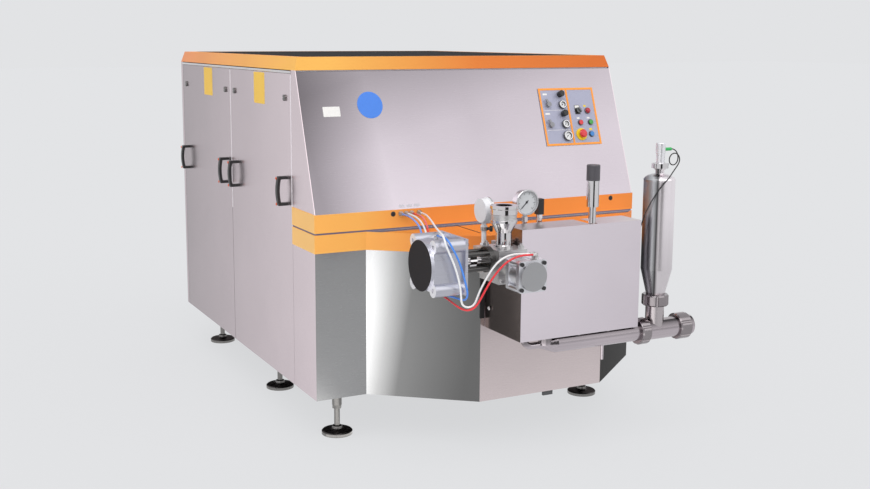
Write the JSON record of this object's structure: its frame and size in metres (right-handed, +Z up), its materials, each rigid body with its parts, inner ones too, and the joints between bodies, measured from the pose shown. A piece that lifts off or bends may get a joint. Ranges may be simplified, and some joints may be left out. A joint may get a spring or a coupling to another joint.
{
  "type": "dairy homogenizer",
  "caption": "High-pressure dairy homogenizer: stainless cabinet with orange bands, belt-driven plunger pump, valve group with pneumatic actuators, suction line and dampener.",
  "frame": {"origin": "on the floor under the middle of the machine's overall box", "axes": "X runs across the cabinet, to the right for someone facing the pump; Y runs from the pump at the front to the back; Z is up"},
  "size_m": [1.6949, 2.871, 1.687],
  "materials": {
    "sheet_steel": "brushed stainless sheet",
    "orange_paint": "satin paint",
    "roof_paint": "satin paint",
    "frame_paint": "satin paint",
    "foot_steel": "turned",
    "handle_plastic": "moulded",
    "plate_film": "satin printed plate",
    "polished_steel": "polished",
    "machined_steel": "machined",
    "anodised_aluminium": "anodised",
    "casting": "painted casting",
    "motor_paint": "satin paint",
    "belt_rubber": "moulded",
    "grey_plastic": "moulded",
    "black_plastic": "moulded",
    "red_plastic": "moulded",
    "green_plastic": "moulded",
    "blue_plastic": "moulded",
    "blue_tube": "extruded",
    "white_tube": "extruded",
    "red_tube": "extruded"
  },
  "bodies": {
    "machine": {"base_frame": "frame_paint", "levelling_feet": "foot_steel", "front_housing": "sheet_steel", "upper_front_panel": "sheet_steel", "left_corner_panel": "sheet_steel", "right_side_panel": "sheet_steel", "rear_panel": "sheet_steel", "roof_panel": "roof_paint", "roof_trim": "orange_paint", "waist_bands": "orange_paint", "control_plate": "plate_film", "pressure_gauges": "polished_steel", "button_bezels": "grey_plastic", "crankcase": "casting", "main_motor": "motor_paint", "drive_belts": "belt_rubber", "pump_head": "machined_steel", "valve_block": "machined_steel", "outlet_port": "polished_steel", "main_actuator": "anodised_aluminium", "second_actuator": "anodised_aluminium", "suction_line": "machined_steel", "union_nuts": "machined_steel", "dampener": "polished_steel", "sensors": "polished_steel", "hose_fittings": "machined_steel", "blue_hose": "blue_tube", "white_hose_1": "white_tube", "red_hose": "red_tube", "white_hose_2": "white_tube", "sensor_cable": "black_plastic"},
    "front_access": {"front_access_panel": "sheet_steel", "front_panel_handles": "handle_plastic"},
    "rear_access": {"rear_access_panel": "sheet_steel", "rear_panel_handles": "handle_plastic"},
    "panel_lock_1": {"panel_lock_1": "machined_steel"},
    "panel_lock_2": {"panel_lock_2": "machined_steel"},
    "panel_lock_3": {"panel_lock_3": "machined_steel"},
    "panel_lock_4": {"panel_lock_4": "machined_steel"},
    "regulator_knob_1": {"regulator_knob_1": "black_plastic"},
    "regulator_knob_2": {"regulator_knob_2": "black_plastic"},
    "mode_lever_1": {"mode_lever_1": "grey_plastic"},
    "mode_lever_2": {"mode_lever_2": "grey_plastic"},
    "selector_switch": {"selector_switch": "black_plastic"},
    "stop_button": {"stop_button": "red_plastic"},
    "start_button": {"start_button": "green_plastic"},
    "reset_button": {"reset_button": "blue_plastic"},
    "emergency_stop": {"emergency_stop": "red_plastic"},
    "panel_needle_1": {"panel_needle_1": "black_plastic"},
    "panel_needle_2": {"panel_needle_2": "black_plastic"},
    "panel_needle_3": {"panel_needle_3": "black_plastic"},
    "head_needle_1": {"head_needle_1": "black_plastic"},
    "head_needle_2": {"head_needle_2": "black_plastic"},
    "motor_pulley": {"motor_pulley": "casting"},
    "driven_pulley": {"driven_pulley": "casting"},
    "plunger_1": {"plunger_1": "polished_steel"},
    "plunger_2": {"plunger_2": "polished_steel"},
    "plunger_3": {"plunger_3": "polished_steel"},
    "head_cover": {"head_cover": "sheet_steel"},
    "main_valve_rod": {"main_valve_rod": "polished_steel"}
  },
  "joints": [
    {"name": "front_panel_lift_off", "type": "slide", "parent": "machine", "child": "front_access", "axis": [-1, 0, 0], "range_m": [0, 0.25]},
    {"name": "rear_panel_lift_off", "type": "slide", "parent": "machine", "child": "rear_access", "axis": [-1, 0, 0], "range_m": [0, 0.25]},
    {"name": "lock_turn_1", "type": "hinge", "parent": "front_access", "child": "panel_lock_1", "pos_m": [-0.8055, -0.2855, 1.507], "axis": [1, 0, 0], "range_deg": [0, 90]},
    {"name": "lock_turn_2", "type": "hinge", "parent": "front_access", "child": "panel_lock_2", "pos_m": [-0.8055, 0.4385, 1.507], "axis": [1, 0, 0], "range_deg": [0, 90]},
    {"name": "lock_turn_3", "type": "hinge", "parent": "rear_access", "child": "panel_lock_3", "pos_m": [-0.8055, 0.5905, 1.507], "axis": [1, 0, 0], "range_deg": [0, 90]},
    {"name": "lock_turn_4", "type": "hinge", "parent": "rear_access", "child": "panel_lock_4", "pos_m": [-0.8055, 1.3245, 1.507], "axis": [1, 0, 0], "range_deg": [0, 90]},
    {"name": "knob_turn_1", "type": "hinge", "parent": "machine", "child": "regulator_knob_1", "pos_m": [0.52131, -0.4622, 1.50238], "axis": [0, -0.9419, 0.3359], "range_deg": [-360, 360]},
    {"name": "knob_turn_2", "type": "hinge", "parent": "machine", "child": "regulator_knob_2", "pos_m": [0.52444, -0.49453, 1.41175], "axis": [0, -0.9419, 0.3359], "range_deg": [-360, 360]},
    {"name": "lever_turn_1", "type": "hinge", "parent": "machine", "child": "mode_lever_1", "pos_m": [0.44744, -0.47884, 1.45573], "axis": [0, -0.9419, 0.3359], "range_deg": [0, 90]},
    {"name": "lever_turn_2", "type": "hinge", "parent": "machine", "child": "mode_lever_2", "pos_m": [0.44494, -0.51259, 1.36111], "axis": [0, -0.9419, 0.3359], "range_deg": [0, 90]},
    {"name": "selector_turn", "type": "hinge", "parent": "machine", "child": "selector_switch", "pos_m": [0.61615, -0.4893, 1.42641], "axis": [0, -0.9419, 0.3359], "range_deg": [-45, 45]},
    {"name": "stop_press", "type": "slide", "parent": "machine", "child": "stop_button", "axis": [0, 0.9419, -0.3359], "range_m": [0, 0.004], "stiffness_N_per_m": 600, "springref_m": -0.001},
    {"name": "start_press", "type": "slide", "parent": "machine", "child": "start_button", "axis": [0, 0.9419, -0.3359], "range_m": [0, 0.004], "stiffness_N_per_m": 600, "springref_m": -0.001},
    {"name": "reset_press", "type": "slide", "parent": "machine", "child": "reset_button", "axis": [0, 0.9419, -0.3359], "range_m": [0, 0.004], "stiffness_N_per_m": 600, "springref_m": -0.001},
    {"name": "emergency_press", "type": "slide", "parent": "machine", "child": "emergency_stop", "axis": [0, 0.9419, -0.3359], "range_m": [0, 0.004], "stiffness_N_per_m": 900, "springref_m": -0.001},
    {"name": "panel_needle_turn_1", "type": "hinge", "parent": "machine", "child": "panel_needle_1", "pos_m": [0.52632, -0.47932, 1.4544], "axis": [0, 0.9419, -0.3359], "range_deg": [0, 270]},
    {"name": "panel_needle_turn_2", "type": "hinge", "parent": "machine", "child": "panel_needle_2", "pos_m": [0.52757, -0.51164, 1.36377], "axis": [0, 0.9419, -0.3359], "range_deg": [0, 270]},
    {"name": "panel_needle_turn_3", "type": "hinge", "parent": "machine", "child": "panel_needle_3", "pos_m": [0.5282, -0.53113, 1.30913], "axis": [0, 0.9419, -0.3359], "range_deg": [0, 270]},
    {"name": "head_needle_turn_1", "type": "hinge", "parent": "machine", "child": "head_needle_1", "pos_m": [-0.0435, -1.0915, 1.099], "axis": [0, 1, 0], "range_deg": [0, 270]},
    {"name": "head_needle_turn_2", "type": "hinge", "parent": "machine", "child": "head_needle_2", "pos_m": [-0.2505, -1.0895, 1.08], "axis": [-1, 0, 0], "range_deg": [0, 270]},
    {"name": "driven_pulley_spin", "type": "hinge", "parent": "machine", "child": "driven_pulley", "pos_m": [-0.6705, -0.2975, 0.76], "axis": [1, 0, 0], "continuous": true},
    {"name": "motor_pulley_spin", "type": "hinge", "parent": "machine", "child": "motor_pulley", "pos_m": [-0.6705, 0.8125, 0.47], "axis": [1, 0, 0], "continuous": true},
    {"name": "plunger_stroke_1", "type": "slide", "parent": "machine", "child": "plunger_1", "axis": [0, 1, 0], "range_m": [-0.08, 0]},
    {"name": "plunger_stroke_2", "type": "slide", "parent": "machine", "child": "plunger_2", "axis": [0, 1, 0], "range_m": [-0.02, 0.06]},
    {"name": "plunger_stroke_3", "type": "slide", "parent": "machine", "child": "plunger_3", "axis": [0, 1, 0], "range_m": [-0.02, 0.06]},
    {"name": "cover_pull_off", "type": "slide", "parent": "machine", "child": "head_cover", "axis": [0, -1, 0], "range_m": [0, 0.35]},
    {"name": "valve_rod_lift", "type": "slide", "parent": "machine", "child": "main_valve_rod", "axis": [-1, 0, 0], "range_m": [0, 0.008]}
  ],
  "couplings": [
    {"joint": "motor_pulley_spin", "follows": "driven_pulley_spin", "ratio": 2.6786}
  ]
}
